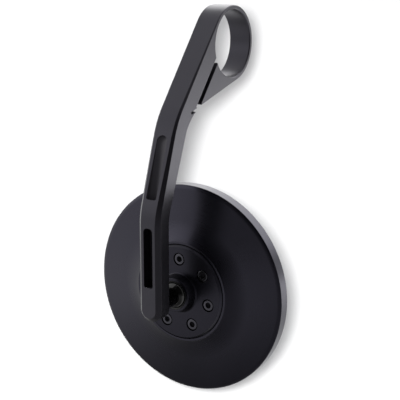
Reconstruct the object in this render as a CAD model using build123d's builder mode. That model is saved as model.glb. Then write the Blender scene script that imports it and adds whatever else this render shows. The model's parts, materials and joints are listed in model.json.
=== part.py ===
from build123d import *
from math import cos, radians, sin, sqrt, tan
import os

os.makedirs("parts", exist_ok=True)

# Motorcycle bar-end mirror: a round mirror head on a ball joint, carried by a bent arm that ends in
# a split clamp ring. Millimetres. The origin is the centre of the clamp bore and +X is the bore axis,
# +Z is up, and the glass faces +Y. The arm hangs down and away from the glass, towards -Y.

# Clamp ring and arm
bore_d = 31.0           # what the ring clamps round
ring_wall = 2.0         # wall of the clamp ring
arm_w = 11.2            # arm, ring and ear are cut from one bar of this width
upper_lean = 40.0       # lean of the arm's three straight runs from the vertical, degrees
mid_lean = 20.0
upper_len = 53.3        # outer face, from the ring's tangent point to the first bend
mid_len = 42.7          # first bend to second bend
foot_len = 48.2         # second bend to the tip
upper_t = 9.4           # thickness at the upper run and the first bend
foot_t = 8.0            # thickness at the second bend and the foot
bend_1_r = 40.0         # outer bend radii
bend_2_r = 30.0
inner_bend_1_r = 13.0
inner_bend_2_r = 22.0
ear_lean = 14.5         # the ear's free face falls this much from the horizontal
ear_root_r = 22.0       # sweep from the ear into the arm's inner face
ear_tip_r = 0.6         # rounded tip of the ear, beside the slit's mouth
slit_w = 2.65
slit_len = 39.8         # from the bore centre to the slit's end
bore_edge = 0.4         # chamfer at both ends of the bore
bevel_ring = 0.32       # the outer edges' bevel: its size round the ear and the ring,
bevel_mid = 1.17        # past the first bend,
bevel_foot = 1.98       # and at the foot
bevel_break = 12.0      # from the first bend to where the bevel starts to widen faster

# Milled pockets in the arm's outer face
pocket_1_w = 5.2
pocket_1_len = 28.5
pocket_1_start = 6.6    # from the first bend, along the outer face
pocket_1_top = 1.5      # its floor falls from this depth at the top
pocket_1_end = 3.6      # to this depth at the lower end
pocket_1_scoop = 0.55   # the scooped floor's radius is this much more than half the width
pocket_1_round = 0.49   # corner radius at the top end, as a share of the width
pocket_2_w = 4.65
pocket_2_len = 27.0
pocket_2_start = 5.1    # from the second bend
pocket_2_depth = 5.5
pocket_2_round = 0.4    # corner radius at the top end, as a share of the width
pocket_corner_r = 1.0   # corners at the pockets' lower ends

# Clamp screw: M4 socket head, square to the slit
clamp_at = 23.6         # distance from the bore centre, along the slit
clamp_d = 4.0
clamp_head_d = 7.0
clamp_head_h = 4.0
clamp_hex = 3.0
clamp_grip = 3.6        # ear metal between the head's seat and the slit
clamp_len = 12.0
thread_gap = 0.02       # radial play of every thread in its hole
hole_gap = 0.25         # radial play of a screw in its clearance hole
head_gap = 0.35         # radial play of a screw head in its counterbore

# Ball stud, in the foot of the arm
stud_up = 7.2           # stud axis above the tip
ball_d = 13.0
neck_d = 8.6
neck_flat = 0.5         # depth of the two spanner flats on the neck
neck_flat_len = 4.0
stud_d = 6.0
stud_len = 6.2
hole_bottom_gap = 0.4   # space left under every screw's end

# Ball seats: spherical plastic shells
ball_gap = 0.05         # running play on each side of the seats
seat_t = 0.7
seat_lip = 67.0         # ring's front edge, degrees from the stud's axis
seat_ring_end = 100.0   # ring's rear edge, degrees from the stud's axis
seat_cup_end = 62.0     # cup's edge, degrees from the glass side's axis

# Head: housing, retainer plate and screws
head_back = 30.5        # the rim's back edge, this far before the bore axis
rim_w = 6.0             # width of the cylindrical rim
rim_wall = 1.7          # its wall round the glass
rim_edge = 0.4
hub_rise = 7.3          # retainer plate's face before the rim's back edge
plate_d = 44.6          # retainer plate
plate_bevel = 1.3       # height of the bevel round the plate
plate_bevel_w = 0.8     # and its width
plate_t = 3.0
plate_gap = 0.3         # between the plate and its recess
cone_top_drop = 1.3     # the housing's cone ends this far below the plate's face
cone_land = 0.9         # flat land between the plate's recess and the cone
cone_root_r = 0.8       # rounded edge at the top of the cone
ball_rise = 2.0         # ball centre before the plate's face
collar_h = 4.8
collar_wall = 1.8       # wall of the collar at its foot, round the ball's socket
collar_taper = 1.2      # the collar is this much narrower at its top, on each side
collar_edge = 0.35
screw_count = 7
screw_pcd = 31.7
screw_d = 3.0
screw_head_d = 5.3
screw_head_h = 2.0
screw_hex = 2.5
screw_sink = 0.2        # head's top below the plate's face
screw_len = 6.0
head_edge = 0.4         # rounded rim of a screw head
screw_end = 0.4         # chamfer at a screw's end
socket_depth = 0.55     # depth of a hex socket, as a share of its width across flats

# Glass and its pad
glass_d = 94.0
glass_t = 2.0
glass_r = 1200.0        # convex: radius of the mirror's curvature
glass_gap = 0.3         # round the glass
glass_drop = 0.3        # glass edge below the rim's front edge
pad_t = 0.9             # at the glass's edge
pad_inset = 1.0         # pad's edge inside the glass's edge
wall = 2.2              # housing's wall over its machined relief
relief_ledge = 3.5      # ledge left outside the relief, under the glass's edge


def down(lean):
    """Direction of a run of the arm in the (Y, Z) plane: straight down, leaning towards -Y."""
    return Vector(-sin(radians(lean)), -cos(radians(lean)))


def out(lean):
    """Outward normal of that run's outer face, in the (Y, Z) plane."""
    return Vector(-cos(radians(lean)), sin(radians(lean)))


bore_r = bore_d / 2
ring_r = bore_r + ring_wall
ring_d = 2 * ring_r
half_w = arm_w / 2

# Outline of the arm in its bending plane, as (Y, Z): the outer face is tangent to the ring
ring_tangent = out(upper_lean) * ring_r
bend_1 = ring_tangent + down(upper_lean) * upper_len
bend_2 = bend_1 + down(mid_lean) * mid_len
tip = bend_2 + down(0) * foot_len
bend_half = (upper_lean - mid_lean) / 2
inner_1 = bend_1 - out(mid_lean + bend_half) * (upper_t / cos(radians(bend_half)))
inner_2 = bend_2 - out(mid_lean / 2) * (foot_t / cos(radians(mid_lean / 2)))
tip_inner = tip - out(0) * foot_t
inner_off = ring_r - upper_t
ear_dir = Vector(-cos(radians(ear_lean)), -sin(radians(ear_lean)))
ear_tangent = Vector(sin(radians(ear_lean)), -cos(radians(ear_lean))) * ring_r
ear_reach = (inner_off - out(upper_lean).dot(ear_tangent)) / out(upper_lean).dot(ear_dir)
ear_root = ear_tangent + ear_dir * ear_reach
slit_at_ear = ear_root - ear_dir * (slit_w / 2 / out(upper_lean).dot(ear_dir))
bevel_turn = bend_1 + down(mid_lean) * bevel_break

# Head positions along Y
rim_back_y = -head_back
rim_front_y = rim_back_y + rim_w
plate_y = rim_back_y - hub_rise
seat_y = plate_y + plate_t
ball_y = plate_y - ball_rise
axis_z = tip.Y + stud_up
foot_inner_y = tip_inner.X
seat_in_r = ball_d / 2 + ball_gap
seat_out_r = seat_in_r + seat_t
socket_r = seat_out_r + ball_gap
head_r = glass_d / 2 + glass_gap + rim_wall
plate_r = plate_d / 2
plate_face_r = plate_r - plate_bevel_w
recess_r = plate_r + plate_gap
collar_base_r = socket_r + collar_wall
collar_top_r = collar_base_r - collar_taper
cone_top_r = recess_r + cone_land
cone_top_y = plate_y + cone_top_drop
cone_fall = (rim_back_y - cone_top_y) / (head_r - cone_top_r)
relief_in_r = recess_r + wall
relief_out_r = glass_d / 2 - relief_ledge
glass_edge_y = rim_front_y - glass_drop
glass_back_r = glass_r - glass_t
glass_centre_y = glass_edge_y - sqrt(glass_r**2 - (glass_d / 2) ** 2)
glass_mid_y = glass_centre_y + glass_r
pad_r = glass_d / 2 - pad_inset
pad_y = glass_edge_y - glass_t - pad_t

# Clamp screw's seat in the ear: its plane looks along the screw, from the head to the thread
clamp_axis = Vector(0, out(upper_lean).X, out(upper_lean).Y)
clamp_at_yz = down(upper_lean) * clamp_at + out(upper_lean) * (inner_off - slit_w - clamp_grip)
clamp_seat = Plane(origin=(0, clamp_at_yz.X, clamp_at_yz.Y), x_dir=(1, 0, 0), z_dir=clamp_axis)
to_thread = (Align.CENTER, Align.CENTER, Align.MIN)
to_free_end = (Align.CENTER, Align.CENTER, Align.MAX)

# Turned pieces of the head are drawn as half sections (radius, Y) and revolved about the stud's axis
section = Plane(origin=(0, 0, axis_z), x_dir=(1, 0, 0), z_dir=(0, 0, 1))
turn_axis = Axis((0, 0, axis_z), (0, 1, 0))


def on_sphere(radius, angle):
    """Point of a half section at this radius about the ball's centre, angle in degrees from -Y."""
    return (radius * sin(radians(angle)), ball_y - radius * cos(radians(angle)))


def on_glass(radius, r):
    """Point of a half section at distance r from the axis, on a sphere about the glass's centre."""
    return (r, glass_centre_y + sqrt(radius**2 - r**2))


# Foot of the arm in front view, with the bevel carried round its rounded end
foot_top = bend_2.Y - 1.1 * bend_2_r * tan(radians(mid_lean / 2))
with BuildPart() as foot_form:
    front = Plane(origin=(0, foot_inner_y + 1, 0), x_dir=(1, 0, 0), z_dir=(0, -1, 0))
    with BuildSketch(front) as foot_outline:
        with Locations((0, tip.Y + half_w)):
            Circle(half_w)
            Rectangle(arm_w, foot_len, align=(Align.CENTER, Align.MIN))
    straight = foot_t + 1 - bevel_foot
    extrude(foot_outline.sketch, amount=straight)
    extrude(foot_outline.sketch.moved(Location((0, -straight, 0))), amount=bevel_foot, taper=45)
    with Locations((0, 0, foot_top)):
        Box(4 * arm_w, 8 * ring_d, 8 * ring_d, align=(Align.CENTER, Align.CENTER, Align.MIN))

# Upper pocket: a slot whose scooped floor falls towards its lower end
pocket_1_scoop_r = pocket_1_w / 2 + pocket_1_scoop
pocket_1_top_at = bend_1 + down(mid_lean) * pocket_1_start
mid_face = Plane(
    origin=(0, pocket_1_top_at.X, pocket_1_top_at.Y),
    x_dir=(1, 0, 0),
    z_dir=(0, out(mid_lean).X, out(mid_lean).Y),
)
with BuildPart() as pocket_1_form:
    with BuildSketch(mid_face) as slot:
        with Locations((0, -pocket_1_len / 2)):
            Rectangle(pocket_1_w, pocket_1_len)
        fillet(slot.vertices().group_by(Axis.Y)[-1], pocket_1_w * pocket_1_round)
        fillet(slot.vertices().group_by(Axis.Y)[0], pocket_corner_r)
    extrude(amount=-2 * pocket_1_end)
    scoop_from = mid_face.from_local_coords((0, 0, pocket_1_scoop_r - pocket_1_top))
    scoop_to = mid_face.from_local_coords((0, -pocket_1_len, pocket_1_scoop_r - pocket_1_end))
    with Locations(Plane(origin=scoop_from, z_dir=scoop_to - scoop_from)):
        Cylinder(pocket_1_scoop_r, 4 * pocket_1_len, mode=Mode.INTERSECT)

with BuildPart() as mirror_arm:
    # Arm, ear and ring in side view, cut to the full width
    with BuildSketch(Plane.YZ) as outline:
        with BuildLine():
            Polyline(
                (0, 0),
                (ring_tangent.X, ring_tangent.Y),
                (bend_1.X, bend_1.Y),
                (bend_2.X, bend_2.Y),
                (tip.X, tip.Y),
                (tip_inner.X, tip_inner.Y),
                (inner_2.X, inner_2.Y),
                (inner_1.X, inner_1.Y),
                (ear_root.X, ear_root.Y),
                (ear_tangent.X, ear_tangent.Y),
                close=True,
            )
        make_face()
        for corner, radius in (
            (bend_1, bend_1_r),
            (bend_2, bend_2_r),
            (inner_1, inner_bend_1_r),
            (inner_2, inner_bend_2_r),
            (ear_root, ear_root_r),
        ):
            fillet(outline.vertices().sort_by_distance((corner.X, corner.Y))[0], radius)
        Circle(ring_r)
        Circle(bore_r, mode=Mode.SUBTRACT)
        slit_mid = out(upper_lean) * (inner_off - slit_w / 2) + down(upper_lean) * (slit_len / 2)
        with Locations((slit_mid.X, slit_mid.Y)):
            Rectangle(slit_w, slit_len, rotation=-upper_lean, mode=Mode.SUBTRACT)
        ear_side = inner_off - slit_w
        beside_slit = outline.vertices().filter_by(
            lambda v: abs(out(upper_lean).dot(Vector(v.X, v.Y)) - ear_side) < 0.01
        )
        fillet(beside_slit.sort_by(Axis.Y)[0], ear_tip_r)
    extrude(amount=half_w, both=True)

    # Broken edges at both ends of the bore
    rims = mirror_arm.edges().filter_by(GeomType.CIRCLE)
    chamfer(rims.filter_by(lambda e: abs(e.radius - bore_r) < 0.01), bore_edge)

    # Bevel of the outer edges: even round the ear and the ring, then widening down the arm
    for side in (1, -1):
        side_plane = Plane(origin=(side * half_w, 0, 0), x_dir=(0, 1, 0), z_dir=(1, 0, 0))
        with BuildLine(side_plane) as ring_edge:
            Line((slit_at_ear.X, slit_at_ear.Y), (ear_tangent.X, ear_tangent.Y))
            CenterArc((0, 0), ring_r, ear_lean - 90, 270 - ear_lean - upper_lean)
        with BuildLine(side_plane) as upper_edge:
            Polyline((ring_tangent.X, ring_tangent.Y), (bend_1.X, bend_1.Y), (bevel_turn.X, bevel_turn.Y))
            fillet(upper_edge.vertices().sort_by_distance((side * half_w, bend_1.X, bend_1.Y))[0], bend_1_r)
        with BuildLine(side_plane) as lower_edge:
            Polyline((bevel_turn.X, bevel_turn.Y), (bend_2.X, bend_2.Y), (bend_2.X, foot_top))
            fillet(lower_edge.vertices().sort_by_distance((side * half_w, bend_2.X, bend_2.Y))[0], bend_2_r)
        for edge, sizes in (
            (ring_edge, (bevel_ring, bevel_ring)),
            (upper_edge, (bevel_ring, bevel_mid)),
            (lower_edge, (bevel_mid, bevel_foot)),
        ):
            path = edge.wire()
            cuts = []
            for place, size in zip((0, 1), sizes):
                cross = Plane(path.position_at(place), x_dir=(side, 0, 0), z_dir=path.tangent_at(place))
                with BuildSketch(cross) as cut:
                    with BuildLine():
                        Polyline((-size - 1, side), (1, side), (1, -side * (size + 1)), close=True)
                    make_face()
                cuts.append(cut.sketch)
            sweep(sections=cuts, path=path, multisection=True, mode=Mode.SUBTRACT)
    add(foot_form.part, mode=Mode.INTERSECT)

    # Milled pockets
    add(pocket_1_form.part, mode=Mode.SUBTRACT)
    foot_face = Plane(origin=(0, tip.X, bend_2.Y - pocket_2_start), x_dir=(1, 0, 0), z_dir=(0, -1, 0))
    with BuildSketch(foot_face) as slot_2:
        with Locations((0, -pocket_2_len / 2)):
            Rectangle(pocket_2_w, pocket_2_len)
        fillet(slot_2.vertices().group_by(Axis.Y)[-1], pocket_2_w * pocket_2_round)
        fillet(slot_2.vertices().group_by(Axis.Y)[0], pocket_corner_r)
    extrude(amount=-pocket_2_depth, mode=Mode.SUBTRACT)

    # Clamp screw: counterbore in the ear's free face, clearance through the ear, thread in the arm
    with Locations(clamp_seat):
        Cylinder(clamp_head_d / 2 + head_gap, 2 * ring_d, align=to_free_end, mode=Mode.SUBTRACT)
        Cylinder(clamp_d / 2 + hole_gap, clamp_grip + slit_w, align=to_thread, mode=Mode.SUBTRACT)
        Cylinder(
            clamp_d / 2 + thread_gap, clamp_len + hole_bottom_gap, align=to_thread, mode=Mode.SUBTRACT
        )

    # Tapped hole of the ball stud in the foot's inner face
    with Locations(Plane(origin=(0, foot_inner_y, axis_z), x_dir=(1, 0, 0), z_dir=(0, -1, 0))):
        Cylinder(stud_d / 2 + thread_gap, stud_len + hole_bottom_gap, align=to_thread, mode=Mode.SUBTRACT)
mirror_arm.part.label = "mirror_arm"
export_step(mirror_arm.part, "parts/mirror_arm.step")

with BuildPart() as clamp_screw:
    with Locations(clamp_seat):
        Cylinder(clamp_head_d / 2, clamp_head_h, align=to_free_end)
        Cylinder(clamp_d / 2, clamp_len, align=to_thread)
    ends = clamp_screw.edges().filter_by(GeomType.CIRCLE).sort_by(lambda e: clamp_axis.dot(e.arc_center))
    fillet(ends[0], head_edge)
    chamfer(ends[-1], screw_end)
    with BuildSketch(clamp_seat.offset(-clamp_head_h)):
        RegularPolygon(clamp_hex / 2, 6, major_radius=False)
    extrude(amount=clamp_hex * socket_depth, mode=Mode.SUBTRACT)
clamp_screw.part.label = "clamp_screw"
export_step(clamp_screw.part, "parts/clamp_screw.step")

with BuildPart() as ball_stud:
    with BuildSketch(section):
        with BuildLine():
            Polyline(
                (0, ball_y),
                (neck_d / 2, ball_y),
                (neck_d / 2, foot_inner_y),
                (stud_d / 2, foot_inner_y),
                (stud_d / 2, foot_inner_y - stud_len + screw_end),
                (stud_d / 2 - screw_end, foot_inner_y - stud_len),
                (0, foot_inner_y - stud_len),
                close=True,
            )
        make_face()
    revolve(axis=turn_axis)
    with Locations((0, foot_inner_y + neck_flat_len / 2, axis_z)):
        for side in (1, -1):
            with Locations((0, 0, side * neck_d)):
                Box(2 * neck_d, neck_flat_len, neck_d + 2 * neck_flat, mode=Mode.SUBTRACT)
    with Locations((0, ball_y, axis_z)):
        Sphere(ball_d / 2)
ball_stud.part.label = "ball_stud"
export_step(ball_stud.part, "parts/ball_stud.step")

with BuildPart() as ball_seat_ring:
    with BuildSketch(section):
        with BuildLine():
            mid = (seat_lip + seat_ring_end) / 2
            inner = ThreePointArc(*(on_sphere(seat_in_r, a) for a in (seat_lip, mid, seat_ring_end)))
            outer = ThreePointArc(*(on_sphere(seat_out_r, a) for a in (seat_lip, mid, seat_ring_end)))
            Line(inner @ 0, outer @ 0)
            Line(inner @ 1, outer @ 1)
        make_face()
    revolve(axis=turn_axis)
ball_seat_ring.part.label = "ball_seat_ring"
export_step(ball_seat_ring.part, "parts/ball_seat_ring.step")

with BuildPart() as ball_seat_cup:
    with BuildSketch(section):
        with BuildLine():
            mid = 180 - seat_cup_end / 2
            inner = ThreePointArc(*(on_sphere(seat_in_r, a) for a in (180 - seat_cup_end, mid, 180)))
            outer = ThreePointArc(*(on_sphere(seat_out_r, a) for a in (180 - seat_cup_end, mid, 180)))
            Line(inner @ 0, outer @ 0)
            Line(inner @ 1, outer @ 1)
        make_face()
    revolve(axis=turn_axis)
ball_seat_cup.part.label = "ball_seat_cup"
export_step(ball_seat_cup.part, "parts/ball_seat_cup.step")

screw_face = Plane(origin=(0, plate_y, axis_z), x_dir=(1, 0, 0), z_dir=(0, -1, 0))
with BuildPart() as retainer_plate:
    with BuildSketch(section) as half:
        with BuildLine():
            rim = sqrt(socket_r**2 - (collar_h - ball_rise) ** 2)
            rim_y = plate_y - collar_h
            Polyline(
                (socket_r, ball_y),
                (socket_r, seat_y),
                (plate_r, seat_y),
                (plate_r, plate_y + plate_bevel),
                (plate_face_r, plate_y),
                (collar_base_r, plate_y),
                (collar_top_r, rim_y),
                (rim, rim_y),
            )
            ThreePointArc((rim, rim_y), on_sphere(socket_r, (seat_lip + 90) / 2), (socket_r, ball_y))
        make_face()
        fillet(half.vertices().sort_by_distance((collar_base_r, plate_y))[0], 2 * collar_edge)
        fillet(half.vertices().sort_by_distance((collar_top_r, rim_y))[0], collar_edge)
    revolve(axis=turn_axis)
    with Locations(screw_face):
        with PolarLocations(screw_pcd / 2, screw_count, start_angle=90):
            CounterBoreHole(
                screw_d / 2 + hole_gap, screw_head_d / 2 + head_gap, screw_sink + screw_head_h, depth=2 * plate_t
            )
retainer_plate.part.label = "retainer_plate"
export_step(retainer_plate.part, "parts/retainer_plate.step")

with BuildPart() as retainer_screws:
    with Locations(screw_face.offset(-screw_sink - screw_head_h)):
        with PolarLocations(screw_pcd / 2, screw_count, start_angle=90):
            Cylinder(screw_head_d / 2, screw_head_h, align=to_thread)
            Cylinder(screw_d / 2, screw_len, align=to_free_end)
    ends = retainer_screws.edges().filter_by(GeomType.CIRCLE).group_by(Axis.Y)
    fillet(ends[0], head_edge)
    chamfer(ends[-1], screw_end)
    with BuildSketch(screw_face.offset(-screw_sink)):
        with PolarLocations(screw_pcd / 2, screw_count, start_angle=90):
            RegularPolygon(screw_hex / 2, 6, major_radius=False)
    extrude(amount=-screw_hex * socket_depth, mode=Mode.SUBTRACT)
retainer_screws.part.label = "retainer_screws"
export_step(retainer_screws.part, "parts/retainer_screws.step")

with BuildPart() as mirror_housing:
    with BuildSketch(section) as half:
        with BuildLine():
            dish_r = sqrt(socket_r**2 - (seat_y - ball_y) ** 2)
            ThreePointArc((0, ball_y + socket_r), on_sphere(socket_r, 180 - seat_cup_end / 4), (dish_r, seat_y))
            Polyline(
                (dish_r, seat_y),
                (recess_r, seat_y),
                (recess_r, cone_top_y),
                (cone_top_r, cone_top_y),
                (head_r, rim_back_y),
                (head_r, rim_front_y),
                (glass_d / 2 + glass_gap, rim_front_y),
                (glass_d / 2 + glass_gap, pad_y),
                (relief_out_r, pad_y),
                (relief_out_r, cone_top_y + cone_fall * (relief_out_r - cone_top_r) + wall),
                (relief_in_r, cone_top_y + cone_fall * (relief_in_r - cone_top_r) + wall),
                (relief_in_r, pad_y),
                (0, pad_y),
                (0, ball_y + socket_r),
            )
        make_face()
        fillet(half.vertices().sort_by_distance((cone_top_r, cone_top_y))[0], cone_root_r)
        for corner in ((head_r, rim_back_y), (head_r, rim_front_y)):
            chamfer(half.vertices().sort_by_distance(corner)[0], rim_edge)
    revolve(axis=turn_axis)
    with Locations(screw_face.offset(-plate_t)):
        with PolarLocations(screw_pcd / 2, screw_count, start_angle=90):
            Hole(screw_d / 2 + thread_gap, depth=screw_len + screw_sink + screw_head_h - plate_t + hole_bottom_gap)
mirror_housing.part.label = "mirror_housing"
export_step(mirror_housing.part, "parts/mirror_housing.step")

with BuildPart() as glass_pad:
    with BuildSketch(section):
        with BuildLine():
            Polyline((0, glass_mid_y - glass_t), (0, pad_y), (pad_r, pad_y), on_glass(glass_back_r, pad_r))
            ThreePointArc(*(on_glass(glass_back_r, r) for r in (pad_r, pad_r / 2, 0)))
        make_face()
    revolve(axis=turn_axis)
glass_pad.part.label = "glass_pad"
export_step(glass_pad.part, "parts/glass_pad.step")

with BuildPart() as mirror_glass:
    with BuildSketch(section):
        with BuildLine():
            front = ThreePointArc(*(on_glass(glass_r, r) for r in (0, glass_d / 4, glass_d / 2)))
            back = ThreePointArc(*(on_glass(glass_back_r, r) for r in (0, glass_d / 4, glass_d / 2)))
            Line(front @ 0, back @ 0)
            Line(front @ 1, back @ 1)
        make_face()
    revolve(axis=turn_axis)
mirror_glass.part.label = "mirror_glass"
export_step(mirror_glass.part, "parts/mirror_glass.step")
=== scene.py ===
import json
from math import pi, radians

import bpy
import numpy as np
from mathutils import Matrix, Vector


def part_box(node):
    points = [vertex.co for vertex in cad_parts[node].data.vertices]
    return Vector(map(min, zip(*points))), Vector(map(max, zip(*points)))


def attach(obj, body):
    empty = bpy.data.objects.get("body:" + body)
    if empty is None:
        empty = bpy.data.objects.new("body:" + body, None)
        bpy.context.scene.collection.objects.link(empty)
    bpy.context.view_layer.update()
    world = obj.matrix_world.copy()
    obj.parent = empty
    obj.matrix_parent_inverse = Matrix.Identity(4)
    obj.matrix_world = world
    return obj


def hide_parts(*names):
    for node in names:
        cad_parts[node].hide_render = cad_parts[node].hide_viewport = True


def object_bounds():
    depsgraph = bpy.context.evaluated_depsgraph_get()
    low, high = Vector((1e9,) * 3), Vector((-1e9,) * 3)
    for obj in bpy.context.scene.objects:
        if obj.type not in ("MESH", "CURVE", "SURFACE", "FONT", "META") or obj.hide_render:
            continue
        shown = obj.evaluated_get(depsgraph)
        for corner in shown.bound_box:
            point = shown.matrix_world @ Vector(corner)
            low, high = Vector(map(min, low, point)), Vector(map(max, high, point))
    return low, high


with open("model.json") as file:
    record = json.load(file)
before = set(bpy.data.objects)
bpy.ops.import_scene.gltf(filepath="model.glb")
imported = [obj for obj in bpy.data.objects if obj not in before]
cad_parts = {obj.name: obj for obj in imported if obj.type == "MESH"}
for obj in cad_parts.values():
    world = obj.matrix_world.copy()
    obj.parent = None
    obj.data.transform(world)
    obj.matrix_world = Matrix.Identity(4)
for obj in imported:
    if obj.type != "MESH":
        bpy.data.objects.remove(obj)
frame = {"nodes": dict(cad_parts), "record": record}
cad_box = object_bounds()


# Arm
# One arm milled from an aluminium bar: split clamp ring, ear and slit, two pockets, and bevels that
# widen towards the foot. It is blasted to an even grain and anodised satin black.

def add_node(tree, kind, values=None, **settings):
    """A new shader node of that kind, with its settings and the constants of its input sockets."""
    node = tree.nodes.new("ShaderNode" + kind)
    for name, value in settings.items():
        setattr(node, name, value)
    for name, value in (values or {}).items():
        node.inputs[name].default_value = value
    return node


def join(tree, *pairs):
    """Links each (output socket, input socket) pair."""
    for source, target in pairs:
        tree.links.new(source, target)


def blend(tree, kind, factor, first, second, **settings):
    """Result of a Mix node from first to second by a factor, each an output socket or a constant. The
    node has sockets for every kind of data, so they are picked by their place."""
    *places, result = {"FLOAT": (0, 2, 3, 0), "RGBA": (0, 6, 7, 2)}[kind]
    node = add_node(tree, "Mix", data_type=kind, **settings)
    for place, value in zip(places, (factor, first, second)):
        if isinstance(value, bpy.types.NodeSocket):
            join(tree, (value, node.inputs[place]))
        else:
            node.inputs[place].default_value = value
    return node.outputs[result]


def new_group(name, inputs, outputs):
    """An empty shader node group with (name, type, default) inputs and (name, type) outputs."""
    tree = bpy.data.node_groups.new(name, "ShaderNodeTree")
    for label, kind, value in inputs:
        socket = tree.interface.new_socket(label, in_out="INPUT", socket_type="NodeSocket" + kind)
        if value is not None:
            socket.default_value = value
    for label, kind in outputs:
        tree.interface.new_socket(label, in_out="OUTPUT", socket_type="NodeSocket" + kind)
    return tree, tree.nodes.new("NodeGroupInput"), tree.nodes.new("NodeGroupOutput")


def group_node(tree, group, values=None):
    """Places a node group in a tree and sets its input values."""
    node = tree.nodes.new("ShaderNodeGroup")
    node.node_tree = group
    for name, value in (values or {}).items():
        node.inputs[name].default_value = value
    return node


def bare_material(name):
    """An empty material and its node tree."""
    material = bpy.data.materials.new(name)
    material.use_nodes = True
    material.node_tree.nodes.clear()
    return material, material.node_tree


def new_material(name):
    """A material with its node tree, its Principled BSDF and its Object coordinates."""
    material, tree = bare_material(name)
    shader = add_node(tree, "BsdfPrincipled")
    place = add_node(tree, "TexCoord")
    output = add_node(tree, "OutputMaterial")
    join(tree, (shader.outputs["BSDF"], output.inputs["Surface"]))
    return material, tree, shader, place.outputs["Object"]


def dress(node, material):
    """Gives a CAD node one material in its slots."""
    mesh = frame["nodes"][node].data
    mesh.materials.clear()
    mesh.materials.append(material)


# The values between which a noise mostly lies
noise_span = {"From Min": 0.3, "From Max": 0.7}


def dyed_film_group(dye_shift, gloss_shift):
    """Dyed oxide film on metal: a slow cloud shifts the dye by a share and the roughness by an amount
    to both sides of the values given, and a fine grain gives the height of the metal under the film."""
    tree, given, made = new_group(
        "dyed_film",
        [
            ("Vector", "Vector", None),
            ("Dye", "Color", (0.01, 0.01, 0.012, 1)),
            ("Roughness", "Float", 0.36),
            ("Grain", "Float", 6000.0),
        ],
        [("Colour", "Color"), ("Roughness", "Float"), ("Height", "Float")],
    )
    grain = add_node(tree, "TexNoise", {"Detail": 2.0, "Roughness": 0.6})
    cloud = add_node(tree, "TexNoise", {"Scale": 70.0, "Detail": 4.0, "Roughness": 0.55})
    paler = add_node(tree, "MapRange", {**noise_span, "To Min": 1 - dye_shift, "To Max": 1 + dye_shift})
    rougher = add_node(tree, "MapRange", {**noise_span, "To Min": -gloss_shift, "To Max": gloss_shift})
    dyed = blend(
        tree, "RGBA", 1.0, given.outputs["Dye"], paler.outputs["Result"], blend_type="MULTIPLY"
    )
    total = add_node(tree, "Math", operation="ADD")
    join(
        tree,
        (given.outputs["Vector"], grain.inputs["Vector"]),
        (given.outputs["Grain"], grain.inputs["Scale"]),
        (given.outputs["Vector"], cloud.inputs["Vector"]),
        (cloud.outputs["Fac"], paler.inputs["Value"]),
        (cloud.outputs["Fac"], rougher.inputs["Value"]),
        (given.outputs["Roughness"], total.inputs[0]),
        (rougher.outputs["Result"], total.inputs[1]),
        (dyed, made.inputs["Colour"]),
        (total.outputs[0], made.inputs["Roughness"]),
        (grain.outputs["Fac"], made.inputs["Height"]),
    )
    return tree


dyed_film = dyed_film_group(dye_shift=0.2, gloss_shift=0.02)


# The upper pocket: its top end on the outer face, the way that face looks, and how far the pocket
# reaches from there to both sides, down, up and in, with a hair of the face left out
pocket_top = (0.0, -0.0499, -0.0358)
mid_face_out = (0.0, -0.9397, 0.342)
pocket_half_w = 0.0027
pocket_down = 0.031
pocket_up = 0.002
pocket_deep = 0.0045
pocket_lip = 0.00025


def within(tree, value, low, high):
    """1 where a value lies between two limits and 0 elsewhere."""
    above = add_node(tree, "Math", operation="GREATER_THAN")
    below = add_node(tree, "Math", operation="LESS_THAN")
    both = add_node(tree, "Math", operation="MULTIPLY")
    above.inputs[1].default_value = low
    below.inputs[1].default_value = high
    join(
        tree,
        (value, above.inputs[0]),
        (value, below.inputs[0]),
        (above.outputs[0], both.inputs[0]),
        (below.outputs[0], both.inputs[1]),
    )
    return both.outputs[0]


def milled_pocket_group():
    """1 on the floor and walls of the upper pocket: points below the outer face's plane by less than
    the pocket's depth, between the arm's edges and within the pocket's height."""
    tree, given, made = new_group("milled_pocket", [("Vector", "Vector", None)], [("Mask", "Float")])
    from_top = add_node(tree, "VectorMath", operation="SUBTRACT")
    from_top.inputs[1].default_value = pocket_top
    height = add_node(tree, "VectorMath", operation="DOT_PRODUCT")
    height.inputs[1].default_value = mid_face_out
    parts = add_node(tree, "SeparateXYZ")
    join(
        tree,
        (given.outputs["Vector"], from_top.inputs[0]),
        (from_top.outputs["Vector"], height.inputs[0]),
        (from_top.outputs["Vector"], parts.inputs[0]),
    )
    across = within(tree, parts.outputs["X"], -pocket_half_w, pocket_half_w)
    down = within(tree, parts.outputs["Z"], -pocket_down, pocket_up)
    deep = within(tree, height.outputs["Value"], -pocket_deep, -pocket_lip)
    two = add_node(tree, "Math", operation="MULTIPLY")
    three = add_node(tree, "Math", operation="MULTIPLY")
    join(
        tree,
        (across, two.inputs[0]),
        (down, two.inputs[1]),
        (two.outputs[0], three.inputs[0]),
        (deep, three.inputs[1]),
        (three.outputs[0], made.inputs["Mask"]),
    )
    return tree


milled_pocket = milled_pocket_group()

arm_dye = (0.0035, 0.0034, 0.0045, 1)
arm_tint = (0.87, 0.84, 1.0, 1.0)
# The upper pocket's floor gets a paler grey: painted light for the light that falls on it
pocket_painted_light_grey = (0.03, 0.029, 0.031, 1)
milled_rough = 0.7
blast_grain = 5200.0
grain_height = 0.00002
edge_round = 0.00018


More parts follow.
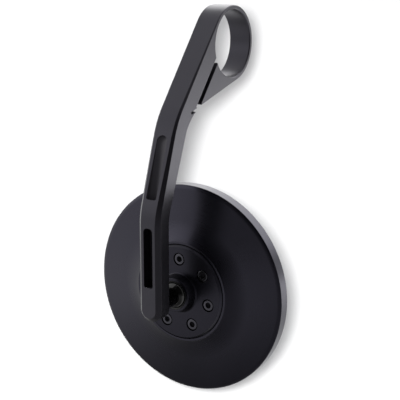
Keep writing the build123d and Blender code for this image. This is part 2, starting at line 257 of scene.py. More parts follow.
def anodised_arm(roughness, ior):
    """Dyed film over a fine blasted grain, with every edge rounded a little in the shading. The upper
    pocket's floor is left as milled, so it is rougher; its paler grey is painted light for the light
    that falls on that floor."""
    material, tree, shader, place = new_material("arm_anodised")
    film = group_node(tree, dyed_film, {"Dye": arm_dye, "Roughness": roughness, "Grain": blast_grain})
    pocket = group_node(tree, milled_pocket)
    rough = blend(tree, "FLOAT", pocket.outputs["Mask"], film.outputs["Roughness"], milled_rough)
    colour = blend(tree, "RGBA", pocket.outputs["Mask"], film.outputs["Colour"], pocket_painted_light_grey)
    round_edge = add_node(tree, "Bevel", {"Radius": edge_round}, samples=4)
    bump = add_node(tree, "Bump", {"Strength": 0.2, "Distance": grain_height})
    shader.inputs["IOR"].default_value = ior
    shader.inputs["Specular Tint"].default_value = arm_tint
    join(
        tree,
        (place, film.inputs["Vector"]),
        (place, pocket.inputs["Vector"]),
        (rough, shader.inputs["Roughness"]),
        (colour, shader.inputs["Base Color"]),
        (film.outputs["Height"], bump.inputs["Height"]),
        (round_edge.outputs["Normal"], bump.inputs["Normal"]),
        (bump.outputs["Normal"], shader.inputs["Normal"]),
    )
    return material


dress("mirror_arm", anodised_arm(roughness=0.34, ior=1.54))


# Clamp screw
# An M4 socket-head cap screw of blackened steel, cold-headed with a knurled head and rolled thread.
# It goes up through the ear, crosses the slit and pinches the ring.

def round_skin(name, rings, material, dark_rings=0):
    """Mesh of a stack of closed rings, given as (ring, point, xyz): four-sided faces between
    neighbouring rings, and a fan from the middle of the first and of the last ring. The first few
    rings can be marked as the inside of a socket."""
    count, around = rings.shape[:2]
    points = np.concatenate([rings[:1].mean(1), rings.reshape(-1, 3), rings[-1:].mean(1)])
    here = np.arange(around)
    after = (here + 1) % around
    rows = 1 + around * np.arange(count - 1)[:, None]
    quads = np.stack([rows + here, rows + after, rows + around + after, rows + around + here], -1)
    last = 1 + around * (count - 1)
    first_fan = np.stack([0 * here, 1 + after, 1 + here], -1)
    last_fan = np.stack([0 * here + len(points) - 1, last + here, last + after], -1)
    faces = quads.reshape(-1, 4).tolist() + first_fan.tolist() + last_fan.tolist()
    inside = np.zeros(len(points))
    inside[: 1 + around * dark_rings] = 1
    crease = radians(32)
    mesh = bpy.data.meshes.new(name)
    mesh.from_pydata(points.tolist(), [], faces)
    mesh.materials.append(material)
    mesh.shade_smooth()
    mesh.set_sharp_from_angle(angle=crease)
    mesh.attributes.new("inside", "FLOAT", "POINT").data.foreach_set("value", inside)
    piece = bpy.data.objects.new(name, mesh)
    bpy.context.scene.collection.objects.link(piece)
    return piece


def round_axis(base, axis, across, radius, along, turn):
    """Points base + along * axis + radius * (cos(turn) * across + sin(turn) * (axis x across))."""
    side = np.cross(axis, across)
    flat = (radius * np.cos(turn))[..., None] * across + (radius * np.sin(turn))[..., None] * side
    return base + along[..., None] * axis + flat


def station_grid(stations, turn):
    """Radius and distance as two grids (station, angle), from pairs of a radius and a distance. Each
    is a number, a value for every angle, or a column of values."""
    plain = np.ones_like(turn)
    return [np.concatenate([np.atleast_2d(row * plain) for row in rows]) for rows in zip(*stations)]


def hexagon(turn):
    """Radius of a hexagon of unit half width across flats: 1 over the cosine of the angle from the
    nearest flat's middle."""
    return 1 / np.cos((turn + pi / 6) % (pi / 3) - pi / 6)


# The knurl's depth is a share of the head's radius, and the thread's a share of its pitch
knurl_waves = 40
knurl_depth = 0.02
thread_depth = 0.3


def thread_groove(along, turn, pitch):
    """Depth of a thread below its crest: a cosine of the distance in pitches less the angle in turns."""
    return thread_depth * pitch * (0.5 - 0.5 * np.cos(2 * pi * along / pitch - turn))


def socket_screw(head_r, head_h, edge, hex_r, socket, shank_r, shank_len, pitch, around):
    """Radius and distance from the head's face of a socket screw, on a grid of stations and angles.
    Stations run from the socket's floor up its hexagonal wall, over the head's rounded edge, down the
    knurled side and along the shank. The knurl is a cosine of the angle, with so many waves round the
    head, and the thread fades out over a pitch at both ends."""
    turn = np.linspace(0, 2 * pi, around, endpoint=False)
    hex_wall = hex_r * hexagon(turn)
    corner = np.linspace(0, pi / 2, 6)[:, None]
    knurled = head_r - knurl_depth * head_r * (1 - np.cos(knurl_waves * turn))
    tip = 0.6 * pitch
    end = head_h + shank_len
    thread = np.linspace(head_h + 0.3 * pitch, end - tip, int(8 * shank_len / pitch))[:, None]
    fade = np.clip(np.minimum(thread - thread[0], thread[-1] - thread) / pitch, 0, 1)
    stations = [
        (0.1 * hex_r, socket + 0.5 * hex_r),
        (hex_wall, socket),
        (hex_wall, 0.08 * hex_r),
        (1.1 * hex_r, 0),
        (head_r - edge + edge * np.sin(corner), edge - edge * np.cos(corner)),
        (knurled, 1.2 * edge),
        (knurled, head_h - edge),
        (head_r, head_h - 0.9 * edge),
        (head_r - 0.3 * edge, head_h),
        (shank_r + 0.1 * pitch, head_h),
        (shank_r - fade * thread_groove(thread, turn, pitch), thread),
        (shank_r - tip, end),
    ]
    return *station_grid(stations, turn), turn


def black_steel(name, dye, roughness):
    """Blackened steel: a cloud of thinner and thicker oxide, and dull grease in the socket."""
    material, tree, shader, place = new_material(name)
    grease_rough = 0.9
    film = group_node(tree, dyed_film, {"Dye": dye, "Roughness": roughness, "Grain": 4000.0})
    bump = add_node(tree, "Bump", {"Strength": 0.12, "Distance": grain_height})
    inside = add_node(tree, "Attribute", attribute_name="inside")
    rough = blend(tree, "FLOAT", inside.outputs["Fac"], film.outputs["Roughness"], grease_rough)
    shader.inputs["IOR"].default_value = 1.65
    shader.inputs["Specular Tint"].default_value = (0.86, 0.84, 1.0, 1.0)
    join(
        tree,
        (place, film.inputs["Vector"]),
        (film.outputs["Colour"], shader.inputs["Base Color"]),
        (rough, shader.inputs["Roughness"]),
        (film.outputs["Height"], bump.inputs["Height"]),
        (bump.outputs["Normal"], shader.inputs["Normal"]),
    )
    return material


def corners_of(node):
    """Points of a CAD node's mesh as an array."""
    mesh = frame["nodes"][node].data
    points = np.empty(3 * len(mesh.vertices))
    mesh.vertices.foreach_get("co", points)
    return points.reshape(-1, 3)


x_axis = np.array([1.0, 0, 0])
clamp_lean = radians(40)
clamp_axis = np.array([0, -np.cos(clamp_lean), np.sin(clamp_lean)])
clamp_side = np.array([0, np.sin(clamp_lean), np.cos(clamp_lean)])
clamp_points = corners_of("clamp_screw")
clamp_reach = clamp_points @ clamp_axis
clamp_off = clamp_points @ clamp_side
clamp_base = clamp_axis * clamp_reach.min() + clamp_side * (clamp_off.min() + clamp_off.max()) / 2
clamp_head_h = 0.004
radius, along, turn = socket_screw(
    head_r=0.0035,
    head_h=clamp_head_h,
    edge=0.0004,
    hex_r=0.0015,
    socket=0.002,
    shank_r=0.002,
    shank_len=np.ptp(clamp_reach) - clamp_head_h,
    pitch=0.0007,
    around=120,
)
socket_rings = 3
screw_steel = black_steel("screw_black", dye=(0.006, 0.006, 0.0065, 1), roughness=0.24)
clamp_screw = round_skin(
    "clamp_screw_m4",
    round_axis(clamp_base, clamp_axis, x_axis, radius, along, turn),
    screw_steel,
    socket_rings,
)
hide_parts("clamp_screw")
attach(clamp_screw, "arm")


# Ball stud
# A turned and polished steel ball on a neck with two spanner flats. Its thread is screwed into the
# arm's foot, and it is finished in a hard, glossy black.

ball_r = 0.0065
neck_r = 0.0043
flat_half = 0.0038
flat_len = 0.004
flat_step = 0.00002
stud_r = 0.003
stud_pitch = 0.001
stud_chamfer = 0.0004
foot_t = 0.008
y_axis = np.array([0, 1.0, 0])
ball_centre = np.array(frame["record"]["behaviour"]["joints"][0]["pos_m"])
stud_end = ball_centre[1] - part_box("ball_stud")[0].y
foot_at = ball_centre[1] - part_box("mirror_arm")[0].y - foot_t


def ball_on_neck(around):
    """Radius and distance towards the foot, from the ball's centre: a circle's arc from the back of
    the ball to the neck, the neck cut by two flats (the lesser of the neck's radius and the flat's
    distance over the sine of the angle), and a thread like a screw's."""
    turn = np.linspace(0, 2 * pi, around, endpoint=False)
    arc = np.linspace(0.02, pi - np.arcsin(neck_r / ball_r), 48)[:, None]
    flat = np.minimum(neck_r, flat_half / np.maximum(np.abs(np.sin(turn)), 0.01))
    flat_from = foot_at - flat_len
    thread = np.linspace(foot_at, stud_end - stud_chamfer, 60)[:, None]
    stations = [
        (ball_r * np.sin(arc), -ball_r * np.cos(arc)),
        (neck_r, flat_from),
        (flat, flat_from + flat_step),
        (flat, foot_at),
        (stud_r - thread_groove(thread, turn, stud_pitch), thread),
        (stud_r - stud_chamfer, stud_end),
    ]
    return *station_grid(stations, turn), turn


def polished_black():
    """Hard black film on polished steel: clear reflections, faint hairlines and a thin cloud."""
    material, tree, shader, place = new_material("ball_black")
    dye = (0.001, 0.001, 0.001, 1)
    film = group_node(tree, dyed_film, {"Dye": dye, "Roughness": 0.05, "Grain": 900.0})
    bump = add_node(tree, "Bump", {"Strength": 0.03, "Distance": grain_height})
    shader.inputs["IOR"].default_value = 1.5
    join(
        tree,
        (place, film.inputs["Vector"]),
        (film.outputs["Colour"], shader.inputs["Base Color"]),
        (film.outputs["Roughness"], shader.inputs["Roughness"]),
        (film.outputs["Height"], bump.inputs["Height"]),
        (bump.outputs["Normal"], shader.inputs["Normal"]),
    )
    return material


radius, along, turn = ball_on_neck(around=96)
ball_stud = round_skin(
    "ball_stud_black",
    round_axis(ball_centre, -y_axis, x_axis, radius, along, turn),
    polished_black(),
)
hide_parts("ball_stud")
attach(ball_stud, "arm")


# Ball seats
# Two moulded shells of hard black plastic, one before and one behind the ball. The screws squeeze
# them on to it, so that the head holds any angle.

def seat_plastic():
    """Moulded plastic with the faint cloud of the mould."""
    material, tree, shader, place = new_material("seat_plastic")
    dye = (0.012, 0.012, 0.012, 1)
    film = group_node(tree, dyed_film, {"Dye": dye, "Roughness": 0.5})
    join(
        tree,
        (place, film.inputs["Vector"]),
        (film.outputs["Colour"], shader.inputs["Base Color"]),
        (film.outputs["Roughness"], shader.inputs["Roughness"]),
    )
    return material


seat_black = seat_plastic()
dress("ball_seat_ring", seat_black)
dress("ball_seat_cup", seat_black)


# Housing
# A dish turned from aluminium: a shallow cone on the back and a short cylindrical rim. The lathe
# leaves fine rings under the satin black film.

def from_head_axis(tree, place):
    """Distance of a place from the head's axis: the length of its X and Z from the ball's centre."""
    shifted = add_node(tree, "VectorMath", operation="SUBTRACT")
    shifted.inputs[1].default_value = tuple(ball_centre)
    flat = add_node(tree, "VectorMath", operation="MULTIPLY")
    flat.inputs[1].default_value = (1, 0, 1)
    distance = add_node(tree, "VectorMath", operation="LENGTH")
    join(
        tree,
        (place, shifted.inputs[0]),
        (shifted.outputs["Vector"], flat.inputs[0]),
        (flat.outputs["Vector"], distance.inputs[0]),
    )
    return distance.outputs["Value"]


def turned_rings_group():
    """Rings left by a lathe about the head's axis: a sine of the radius for the feed, and a noise of
    the radius alone for the rings that stand out. Gives a height and a shade round 0.5."""
    tree, given, made = new_group(
        "turned_rings",
        [("Vector", "Vector", None), ("Feed", "Float", 0.00012)],
        [("Height", "Float"), ("Shade", "Float")],
    )
    wave_share = 0.25
    radius = from_head_axis(tree, given.outputs["Vector"])
    turns = add_node(tree, "Math", operation="DIVIDE")
    phase = add_node(tree, "Math", operation="MULTIPLY")
    phase.inputs[1].default_value = 2 * pi
    wave = add_node(tree, "Math", operation="SINE")
    lines = add_node(
        tree, "TexNoise", {"Scale": 1400.0, "Detail": 3.0, "Roughness": 0.7}, noise_dimensions="1D"
    )
    both = add_node(tree, "Math", operation="MULTIPLY_ADD")
    both.inputs[1].default_value = wave_share
    join(
        tree,
        (radius, turns.inputs[0]),
        (given.outputs["Feed"], turns.inputs[1]),
        (turns.outputs[0], phase.inputs[0]),
        (phase.outputs[0], wave.inputs[0]),
        (radius, lines.inputs["W"]),
        (wave.outputs[0], both.inputs[0]),
        (lines.outputs["Fac"], both.inputs[2]),
        (both.outputs[0], made.inputs["Height"]),
        (lines.outputs["Fac"], made.inputs["Shade"]),
    )
    return tree


turned_rings = turned_rings_group()

head_dye = (0.0012, 0.0011, 0.0022, 1)
head_tint = (0.78, 0.75, 1.0, 1.0)
ring_gloss = 0.015
ring_height = 0.00001


def turned_black(name, roughness, ior):
    """Dyed film over turned rings, with the rings' shade in the roughness and the edges rounded."""
    material, tree, shader, place = new_material(name)
    film = group_node(tree, dyed_film, {"Dye": head_dye, "Roughness": roughness, "Grain": blast_grain})
    rings = group_node(tree, turned_rings)
    rougher = add_node(tree, "MapRange", {**noise_span, "To Min": -ring_gloss, "To Max": ring_gloss})
    rough = add_node(tree, "Math", operation="ADD")
    round_edge = add_node(tree, "Bevel", {"Radius": edge_round}, samples=4)
    grain_bump = add_node(tree, "Bump", {"Strength": 0.1, "Distance": grain_height})
    ring_bump = add_node(tree, "Bump", {"Strength": 0.012, "Distance": ring_height})
    shader.inputs["IOR"].default_value = ior
    shader.inputs["Specular Tint"].default_value = head_tint
    join(
        tree,
        (place, film.inputs["Vector"]),
        (place, rings.inputs["Vector"]),
        (film.outputs["Colour"], shader.inputs["Base Color"]),
        (rings.outputs["Shade"], rougher.inputs["Value"]),
        (film.outputs["Roughness"], rough.inputs[0]),
        (rougher.outputs["Result"], rough.inputs[1]),
        (rough.outputs[0], shader.inputs["Roughness"]),
        (film.outputs["Height"], grain_bump.inputs["Height"]),
        (round_edge.outputs["Normal"], grain_bump.inputs["Normal"]),
        (rings.outputs["Height"], ring_bump.inputs["Height"]),
        (grain_bump.outputs["Normal"], ring_bump.inputs["Normal"]),
        (ring_bump.outputs["Normal"], shader.inputs["Normal"]),
    )
    return material


housing_low, housing_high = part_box("mirror_housing")
plate_low, plate_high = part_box("retainer_plate")
glass_low, glass_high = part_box("mirror_glass")
pad_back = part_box("glass_pad")[0].y

# The section: play round plate and glass, the ball's seat, the boss round the plate, its flare with
# the control points at both ends, and the rim
fit_gap = 0.0003
head_r = (housing_high.x - housing_low.x) / 2
recess_r = (plate_high.x - plate_low.x) / 2 + fit_gap
glass_recess_r = (glass_high.x - glass_low.x) / 2 + fit_gap
seat_r = 0.0073
lip = 0.0001
boss_land = 0.0012
boss_r = recess_r + boss_land
flare_out = 0.0026
flare_fall = 0.0017
flare_lead = 0.0036
flare_r = 0.0335
flare_drop = 0.0035
rim_w = 0.006
rim_edge = 0.0007
rim_lip = 0.0004
pole_r = 0.0002


def smooth_line(points, steps):
    """Bezier arc of four control points, at evenly spaced values of its parameter."""
    t = np.linspace(0, 1, steps)[:, None]
    a, b, c, d = np.array(points)
    return (1 - t) ** 3 * a + 3 * (1 - t) ** 2 * t * b + 3 * (1 - t) * t**2 * c + t**3 * d


def housing_line():
    """Half section of the housing as (radius, Y), from the ball's seat out over the plate's recess,
    the boss and its flare, the cone and the rim, and back along the glass's recess to the axis."""
    back = housing_high.y - rim_w
    boss_y = housing_low.y
    flare_y = boss_y + flare_drop
    slope = (back - flare_y) / (head_r - flare_r)
    seat_y = plate_high.y
    seat_arc = np.linspace(0.002, np.arccos((seat_y - ball_centre[1]) / seat_r), 12)
    seat = np.stack([seat_r * np.sin(seat_arc), ball_centre[1] + seat_r * np.cos(seat_arc)], -1)
    recess = np.array([[recess_r, seat_y], [recess_r, boss_y + lip], [recess_r + lip, boss_y]])
    edge = smooth_line(
        [
            [boss_r - 3 * lip, boss_y],
            [boss_r - lip, boss_y],
            [boss_r, boss_y],
            [boss_r + lip, boss_y + 2 * lip],
        ],
        5,
    )
    flare = smooth_line(
        [
            edge[-1],
            [boss_r + flare_out, boss_y + flare_fall],
            [flare_r - flare_lead, flare_y - flare_lead * slope],
            [flare_r, flare_y],
        ],
        24,
    )[1:]
    cone_r = np.linspace(flare_r, head_r - rim_edge, 12)[1:]
    cone = np.stack([cone_r, flare_y + slope * (cone_r - flare_r)], -1)
    rim = np.array([
        [head_r, back + 0.6 * rim_edge],
        [head_r, housing_high.y - rim_lip],
        [head_r - rim_lip, housing_high.y],
        [glass_recess_r, housing_high.y],
        [glass_recess_r, pad_back],
        [pole_r, pad_back],
    ])
    return np.concatenate([seat, recess, edge, flare, cone, rim])


def lathe(name, line, around, material):
    """A piece turned about the head's axis from its half section, given as (radius, Y)."""
    turn = np.linspace(0, 2 * pi, around, endpoint=False)
    radius = line[:, :1] + 0 * turn
    along = line[:, 1:] + 0 * turn
    base = np.array([0, 0, ball_centre[2]])
    return round_skin(name, round_axis(base, y_axis, x_axis, radius, along, turn), material)


housing = lathe(
    "mirror_housing_turned",
    housing_line(),
    360,
    turned_black("housing_anodised", roughness=0.29, ior=1.53),
)
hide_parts("mirror_housing")
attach(housing, "head")


# Retainer plate
# A turned aluminium plate with a conical collar, let into the housing's back. It closes over the
# ball and its front seat, and is anodised like the housing.

dress("retainer_plate", turned_black("plate_anodised", roughness=0.31, ior=1.41))


# Retainer screws
# Seven M3 low-head socket screws of blackened steel in counterbores, evenly spaced round the collar.
# They go through the plate into threads in the housing.

# The first screw is at the top, in degrees, and each socket is left at another turn, in radians
screw_count = 7
screw_circle = 0.01585
first_screw = 90
socket_turn = 1.7
screw_low, screw_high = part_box("retainer_screws")
screw_head_h = 0.002
radius, along, turn = socket_screw(
    head_r=0.00265,
    head_h=screw_head_h,
    edge=0.0004,
    hex_r=0.0013,
    socket=0.0014,
    shank_r=0.0015,
    shank_len=screw_high.y - screw_low.y - screw_head_h,
    pitch=0.0005,
    around=72,
)
for i in range(screw_count):
    spot = radians(first_screw + 360 * i / screw_count)
    up = ball_centre[2] + screw_circle * np.sin(spot)
    base = np.array([screw_circle * np.cos(spot), screw_low.y, up])
    across = np.array([np.cos(socket_turn * i), 0, np.sin(socket_turn * i)])
    screw = round_skin(
        "retainer_screw_%d" % (i + 1),
        round_axis(base, y_axis, across, radius, along, turn),
        screw_steel,
        socket_rings,
    )
    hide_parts("retainer_screws")
    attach(screw, "head")


# Glass pad
# A die-cut sheet of black foam tape that bonds the glass into the housing and takes up its curve.
# It is hidden between the two.

def pad_foam():
    """Matt closed-cell foam with an open grain."""
    material, tree, shader, place = new_material("pad_foam")
    dye = (0.03, 0.03, 0.03, 1)
    film = group_node(tree, dyed_film, {"Dye": dye, "Roughness": 0.85, "Grain": 1500.0})
    bump = add_node(tree, "Bump", {"Strength": 0.4, "Distance": 0.0001})
    join(
        tree,
        (place, film.inputs["Vector"]),
        (film.outputs["Colour"], shader.inputs["Base Color"]),
        (film.outputs["Roughness"], shader.inputs["Roughness"]),
        (film.outputs["Height"], bump.inputs["Height"]),
        (bump.outputs["Normal"], shader.inputs["Normal"]),
    )
    return material


dress("glass_pad", pad_foam())


# Mirror glass
# A round, slightly convex glass with a chromium coat, cut to a circle and ground along its edge. It
# is bonded to the pad, with its edge just below the rim's front and its middle a little proud of it.

glass_edge = 0.0004
glass_t = 0.002
glass_r = (glass_high.x - glass_low.x) / 2
coat_colour = (0.52, 0.54, 0.55, 1)
ground_colour = (0.12, 0.15, 0.14, 1)
ground_rough = 0.45
ground_step = 0.0001


def glass_line():
    """Half section of the glass as (radius, Y), from the axis out along the back, round the ground
    edge and in along the front. Both faces are shallow parabolas: Y falls by the sag times the square
    of the radius over the edge's radius, and the sag is the box's depth less the thickness."""
    sag = glass_high.y - glass_low.y - glass_t
    out = np.concatenate([np.linspace(pole_r, glass_r - glass_edge, 60), [glass_r]])
    front = np.stack([out, glass_high.y - sag * (out / glass_r) ** 2], -1)
    back = front - np.array([0, glass_t])
    front[-1, 1] -= glass_edge
    back[-1, 1] += glass_edge
    return np.concatenate([back, front[::-1]])


def mirror_coat(ground_from):
    """Bright plain coat with a faint uneven haze, and ground glass from a radius outwards."""
    material, tree, shader, place = new_material("mirror_coat")
    film = group_node(tree, dyed_film, {"Roughness": 0.03})
    ground = add_node(tree, "MapRange", {"From Min": ground_from, "From Max": ground_from + ground_step})
    colour = blend(tree, "RGBA", ground.outputs["Result"], coat_colour, ground_colour)
    rough = blend(tree, "FLOAT", ground.outputs["Result"], film.outputs["Roughness"], ground_rough)
    shader.inputs["Metallic"].default_value = 1.0
    join(
        tree,
        (place, film.inputs["Vector"]),
        (from_head_axis(tree, place), ground.inputs["Value"]),
        (colour, shader.inputs["Base Color"]),
        (rough, shader.inputs["Roughness"]),
    )
    return material


glass = lathe("mirror_glass_coated", glass_line(), 240, mirror_coat(glass_r - glass_edge))
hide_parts("mirror_glass")
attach(glass, "head")


# Camera
# It stands where the photograph was taken from: to the right of the mirror's back and a little above.
# Its place, angle and lens were fitted to the head's rim, the plate screws and the clamp ring.

camera_place = Vector((0.25962, -0.43093, 0.04801))
camera_right = Vector((0.84545, 0.53406, 0.0)).normalized()
camera_back = Vector((0.51880, -0.82129, 0.23735)).normalized()
camera_up = camera_back.cross(camera_right)
lens = bpy.data.cameras.new("photo_camera")
lens.sensor_width = 36.0
lens.lens = 97.2
lens.clip_start = 0.01
lens.clip_end = 50.0
camera = bpy.data.objects.new("photo_camera", lens)
bpy.context.scene.collection.objects.link(camera)
camera_turn = Matrix((camera_right, camera_up, camera_back)).transposed().to_4x4()
camera.matrix_world = Matrix.Translation(camera_place) @ camera_turn
bpy.context.scene.camera = camera


# Stage
# The mirror hangs by its ring over a pale floor. A pale card close behind it takes its soft shadow and
# fades out to clear. A grey cove in front, and a sweep behind that adds light to the floor, only show
# in reflections.

floor_drop = 0.018
floor_half = 6.0
floor_z = cad_box[0].z - floor_drop
glow_from = 0.15
glow_to = 0.7


def seen_or_reflected(tree):
    """Light Path's camera, glossy and transmission rays added up, as one factor."""
    path = add_node(tree, "LightPath")
    two = add_node(tree, "Math", operation="ADD")
    all_three = add_node(tree, "Math", operation="ADD", use_clamp=True)
    join(
        tree,
        (path.outputs["Is Camera Ray"], two.inputs[0]),
        (path.outputs["Is Glossy Ray"], two.inputs[1]),
        (two.outputs[0], all_three.inputs[0]),
        (path.outputs["Is Transmission Ray"], all_three.inputs[1]),
    )
    return all_three.outputs[0]


def pale_floor(near_glow, far_glow):
    """Matt white that shows a share of plain white to camera, glossy and transmission rays, and keeps
    the object's shadow in the share that the lamps light. The plain share grows with the distance
    from the origin, so that the floor far off is white."""
    material, tree = bare_material("floor_pale")
    place = add_node(tree, "TexCoord")
    away = add_node(tree, "VectorMath", operation="LENGTH")
    glow = add_node(
        tree,
        "MapRange",
        {"From Min": glow_from, "From Max": glow_to, "To Min": near_glow, "To Max": far_glow},
    )
    matt = add_node(tree, "BsdfDiffuse", {"Color": (0.8, 0.8, 0.8, 1)})
    light = add_node(tree, "Emission")
    both = add_node(tree, "AddShader")
    chosen = add_node(tree, "MixShader")
    output = add_node(tree, "OutputMaterial")
    join(
        tree,
        (place.outputs["Object"], away.inputs[0]),
        (away.outputs["Value"], glow.inputs["Value"]),
        (glow.outputs["Result"], light.inputs["Strength"]),
        (seen_or_reflected(tree), chosen.inputs[0]),
        (matt.outputs[0], both.inputs[0]),
        (light.outputs[0], both.inputs[1]),
        (matt.outputs[0], chosen.inputs[1]),
        (both.outputs[0], chosen.inputs[2]),
        (chosen.outputs[0], output.inputs["Surface"]),
    )
    return material


def pale_card(glow, middle, clear_from, clear_at):
    """Matt grey with a share of plain white, seen only from its front, that fades out to clear
    between two distances from its middle."""
    material, tree = bare_material("card_pale")
    matt = add_node(tree, "BsdfDiffuse", {"Color": (0.45, 0.45, 0.45, 1)})
    light = add_node(tree, "Emission", {"Strength": glow})
    both = add_node(tree, "AddShader")
    behind = add_node(tree, "NewGeometry")
    place = add_node(tree, "TexCoord")
    from_middle = add_node(tree, "VectorMath", operation="SUBTRACT")
    from_middle.inputs[1].default_value = tuple(middle)
    away = add_node(tree, "VectorMath", operation="LENGTH")
    fade = add_node(
        tree,
        "MapRange",
        {"From Min": clear_from, "From Max": clear_at},
        interpolation_type="SMOOTHSTEP",
    )
    gone = add_node(tree, "Math", operation="MAXIMUM")
    clear = add_node(tree, "BsdfTransparent")
    chosen = add_node(tree, "MixShader")
    output = add_node(tree, "OutputMaterial")
    join(
        tree,
        (matt.outputs[0], both.inputs[0]),
        (light.outputs[0], both.inputs[1]),
        (place.outputs["Object"], from_middle.inputs[0]),
        (from_middle.outputs["Vector"], away.inputs[0]),
        (away.outputs["Value"], fade.inputs["Value"]),
        (behind.outputs["Backfacing"], gone.inputs[0]),
        (fade.outputs["Result"], gone.inputs[1]),
        (gone.outputs[0], chosen.inputs[0]),
        (both.outputs[0], chosen.inputs[1]),
        (clear.outputs[0], chosen.inputs[2]),
        (chosen.outputs[0], output.inputs["Surface"]),
    )
    return material


def plain_shade(name):
    """Plain light of the strength that the sheet's own shade attribute gives."""
    material, tree = bare_material(name)
    shade = add_node(tree, "Attribute", attribute_name="shade")
    light = add_node(tree, "Emission")
    output = add_node(tree, "OutputMaterial")
    join(
        tree,
        (shade.outputs["Fac"], light.inputs["Strength"]),
        (light.outputs[0], output.inputs["Surface"]),
    )
    return material


def added_shade(name):
    """Light of the strength that the sheet's shade attribute gives, added to what lies behind it."""
    material = plain_shade(name)
    tree = material.node_tree
    clear = add_node(tree, "BsdfTransparent")
    both = add_node(tree, "AddShader")
    join(
        tree,
        (clear.outputs[0], both.inputs[0]),
        (tree.nodes["Emission"].outputs[0], both.inputs[1]),
        (both.outputs[0], tree.nodes["Material Output"].inputs["Surface"]),
    )
    return material


def stage_sheet(name, points, material):
    """A sheet of four-sided faces over a grid of points, given as (row, column, xyz)."""
    rows, columns = points.shape[:2]
    start = (columns * np.arange(rows - 1)[:, None] + np.arange(columns - 1)).ravel()
    faces = np.stack([start, start + 1, start + columns + 1, start + columns], -1)
    mesh = bpy.data.meshes.new(name)
    mesh.from_pydata(points.reshape(-1, 3).tolist(), [], faces.tolist())
    mesh.materials.append(material)
    piece = bpy.data.objects.new(name, mesh)
    bpy.context.scene.collection.objects.link(piece)
    return piece


def hide_from(piece, *rays):
    """Keeps a piece out of sight of those kinds of ray."""
    for ray in rays:
        setattr(piece, "visible_" + ray, False)


floor_span = np.array([-floor_half, floor_half])
floor_points = np.stack([*np.meshgrid(floor_span, floor_span), np.full((2, 2), floor_z)], -1)
stage_sheet("floor", floor_points, pale_floor(near_glow=0.28, far_glow=0.5))

# The card stands behind the whole mirror and leans back a little from the camera
card_back = 0.0515
card_lean = 0.17
card_half = 0.3
mirror_middle = Vector((0.0, -0.03, -0.08))
card_middle = mirror_middle - camera_back * card_back
card_up = camera_up - camera_back * card_lean
card_span = np.array([-card_half, card_half])
card_u, card_v = np.meshgrid(card_span, card_span)
card_points = (
    np.array(card_middle)
    + card_u[..., None] * np.array(camera_right)
    + card_v[..., None] * np.array(card_up)
)
shadow_card = stage_sheet(
    "shadow_card",
    card_points,
    pale_card(glow=0.2, middle=card_middle, clear_from=0.17, clear_at=0.27),
)
hide_from(shadow_card, "glossy", "diffuse", "transmission", "shadow")


def ramp(value, low, high):
    """Smooth step: 0 below low, 1 above high, and 3 t squared less 2 t cubed between them."""
    t = np.clip((value - low) / (high - low), 0, 1)
    return t * t * (3 - 2 * t)


def toward(start, end, share):
    """Start, moved to end by a share."""
    return start + (end - start) * share


def about_mirror(bearing, out, height):
    """Points at a distance out from the mirror along a bearing, which runs from straight ahead towards
    the left, and at a height."""
    return np.stack([-out * np.sin(bearing), mirror_middle.y - out * np.cos(bearing), height], -1)


# The cove's floor runs out to a wall, which turns over into a ceiling that runs back in
wall_out = 0.8
wall_h = 1.4
cove_way = 2.8
cove_lift = 0.0004
# Strength of the painted shade close to the mirror, for its shadow on the floor
cove_painted_shade = 0.17


def cove_form(sides, steps):
    """Points and shade of the cove, over an arc about the mirror. Each point has a bearing and a way
    out along the floor, up the wall and back along the ceiling. The shade is made of smooth steps of
    these two: white at the left, grey to nearly black at the right, a painted shade close to the
    mirror for its shadow on the floor, and white again towards both ends of the arc."""
    bearing, way = np.meshgrid(np.radians(np.linspace(-112, 130, sides)), np.linspace(0, cove_way, steps))
    out = np.minimum(way, wall_out) - np.maximum(way - wall_out - wall_h, 0)
    up = np.clip(way - wall_out, 0, wall_h)
    angle = np.degrees(bearing)
    at_left = ramp(angle, 16, 34)
    # At the right the floor is grey and palest ahead, and the wall falls off to nearly black
    floor_right = 0.3 + 0.4 * ramp(angle, -20, 8)
    wall_right = 0.22 - 0.19 * ramp(way, wall_out, 1.1)
    right = toward(floor_right, wall_right, ramp(way, 0.3, 0.85))
    # At the left a brighter band lies low on the wall, and the floor is dimmer far round
    left = 1.04 + 0.58 * ramp(way, 0.9, 1.1) - 0.56 * ramp(way, 1.3, 1.6)
    left = left * (1 - 0.25 * ramp(angle, 62, 85) * (1 - ramp(way, 0.5, 0.9)))
    # The painted shade close to the mirror, for its shadow on the floor, reaches further out at the left
    near = 1 - ramp(way, 0.0, 0.12 + 0.07 * at_left)
    shade = toward(toward(right, left, at_left), cove_painted_shade, near)
    right_end = np.maximum(ramp(-angle, 64, 84) * (1 - ramp(way, 0.5, 0.8)), ramp(-angle, 74, 102))
    left_end = ramp(angle, 100, 127)
    shade = toward(shade, 1, np.maximum(right_end, left_end))
    return about_mirror(bearing, out, floor_z + cove_lift + up), shade


sweep_lift = 0.0006


def sweep_form(sides, steps):
    """Points and shade of a sheet on the floor behind the mirror, over an arc about it. The shade is a
    product of smooth steps that fade it out towards both ends of the arc, close to the mirror and far
    out, times a step that doubles it halfway out."""
    bearing, way = np.meshgrid(np.radians(np.linspace(130, 262, sides)), np.linspace(0.02, 1.2, steps))
    angle = np.degrees(bearing)
    round_arc = ramp(angle, 150, 185) * (1 - ramp(angle, 230, 255))
    outwards = ramp(way, 0.14, 0.32) * (1 - ramp(way, 0.7, 1.2))
    shade = round_arc * outwards * (0.95 + ramp(way, 0.42, 0.62))
    return about_mirror(bearing, way, 0 * way + floor_z + sweep_lift), shade


def reflected_sheet(name, points, shade, material):
    """A stage sheet that shows in reflections only, with a shade for each of its points."""
    sheet = stage_sheet(name, points, material)
    sheet.data.attributes.new("shade", "FLOAT", "POINT").data.foreach_set("value", shade.ravel())
    hide_from(sheet, "camera", "diffuse", "transmission", "shadow")
    return sheet


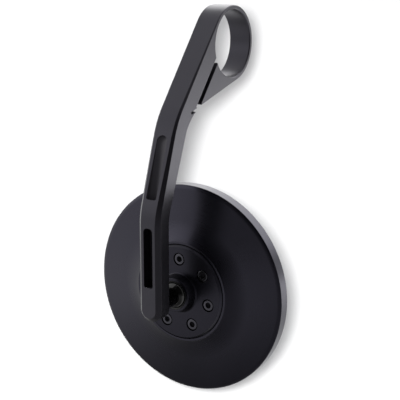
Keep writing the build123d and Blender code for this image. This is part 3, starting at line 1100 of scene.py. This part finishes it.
reflected_sheet("grey_cove", *cove_form(122, 90), plain_shade("cove_grey"))
sweep = reflected_sheet("lit_sweep", *sweep_form(67, 30), added_shade("sweep_light"))

# The glass would clip to white under the sweep and the softbox, so both leave it out
all_but_glass = bpy.data.collections.new("all_but_glass")
all_but_glass.objects.link(glass)
all_but_glass.collection_objects[0].light_linking.link_state = "EXCLUDE"
sweep.light_linking.receiver_collection = all_but_glass


# Light
# A white studio all round at a plain level, and one large softbox behind the mirror. A small lamp by
# the camera reaches only the card, for the shadow, and a lamp at the left only the arm, for the shade
# in its upper pocket.

def studio_light(ambient):
    """White for what the camera sees and what metal and glass reflect, and a plain level of soft
    light for the rest."""
    world = bpy.data.worlds.new("studio")
    bpy.context.scene.world = world
    world.use_nodes = True
    tree = world.node_tree
    tree.nodes.clear()
    soft = add_node(tree, "Background", {"Color": (0.97, 0.97, 1, 1), "Strength": ambient})
    white = add_node(tree, "Background", {"Color": (1, 1, 1, 1), "Strength": 1.0})
    chosen = add_node(tree, "MixShader")
    output = add_node(tree, "OutputWorld")
    join(
        tree,
        (seen_or_reflected(tree), chosen.inputs[0]),
        (soft.outputs[0], chosen.inputs[1]),
        (white.outputs[0], chosen.inputs[2]),
        (chosen.outputs[0], output.inputs["Surface"]),
    )


def add_lamp(name, kind, place, watts, **settings):
    """A lamp of that kind at a place, hidden from the camera."""
    lamp = bpy.data.lights.new(name, kind)
    lamp.energy = watts
    for setting, value in settings.items():
        setattr(lamp, setting, value)
    piece = bpy.data.objects.new(name, lamp)
    bpy.context.scene.collection.objects.link(piece)
    piece.location = place
    hide_from(piece, "camera")
    return piece


def light_only(lamp, name, piece):
    """Lets a lamp reach one piece only, through a collection of that name, and hides it from
    reflections."""
    receivers = bpy.data.collections.new(name)
    receivers.objects.link(piece)
    lamp.light_linking.receiver_collection = receivers
    hide_from(lamp, "glossy")


studio_light(ambient=0.6)

box_place = Vector((0.0, 0.95, 0.68))
box_target = Vector((0.0, 0.0, -0.05))
softbox_back = add_lamp(
    "softbox_back", "AREA", box_place, watts=14.0, shape="RECTANGLE", size=2.2, size_y=0.95
)
softbox_back.rotation_euler = (box_target - box_place).to_track_quat("-Z", "Y").to_euler()
softbox_back.light_linking.receiver_collection = all_but_glass

lamp_left = 0.034
lamp_up = 0.024
card_lamp_place = camera_place - lamp_left * camera_right + lamp_up * camera_up
card_lamp = add_lamp("card_lamp", "POINT", card_lamp_place, watts=17.5, shadow_soft_size=0.035)
light_only(card_lamp, "card_only", shadow_card)

arm_lamp = add_lamp("arm_lamp", "POINT", (-0.42, -0.34, 0.44), watts=30.0, shadow_soft_size=0.1)
light_only(arm_lamp, "arm_only", frame["nodes"]["mirror_arm"])

bpy.context.scene.view_settings.view_transform = "Standard"
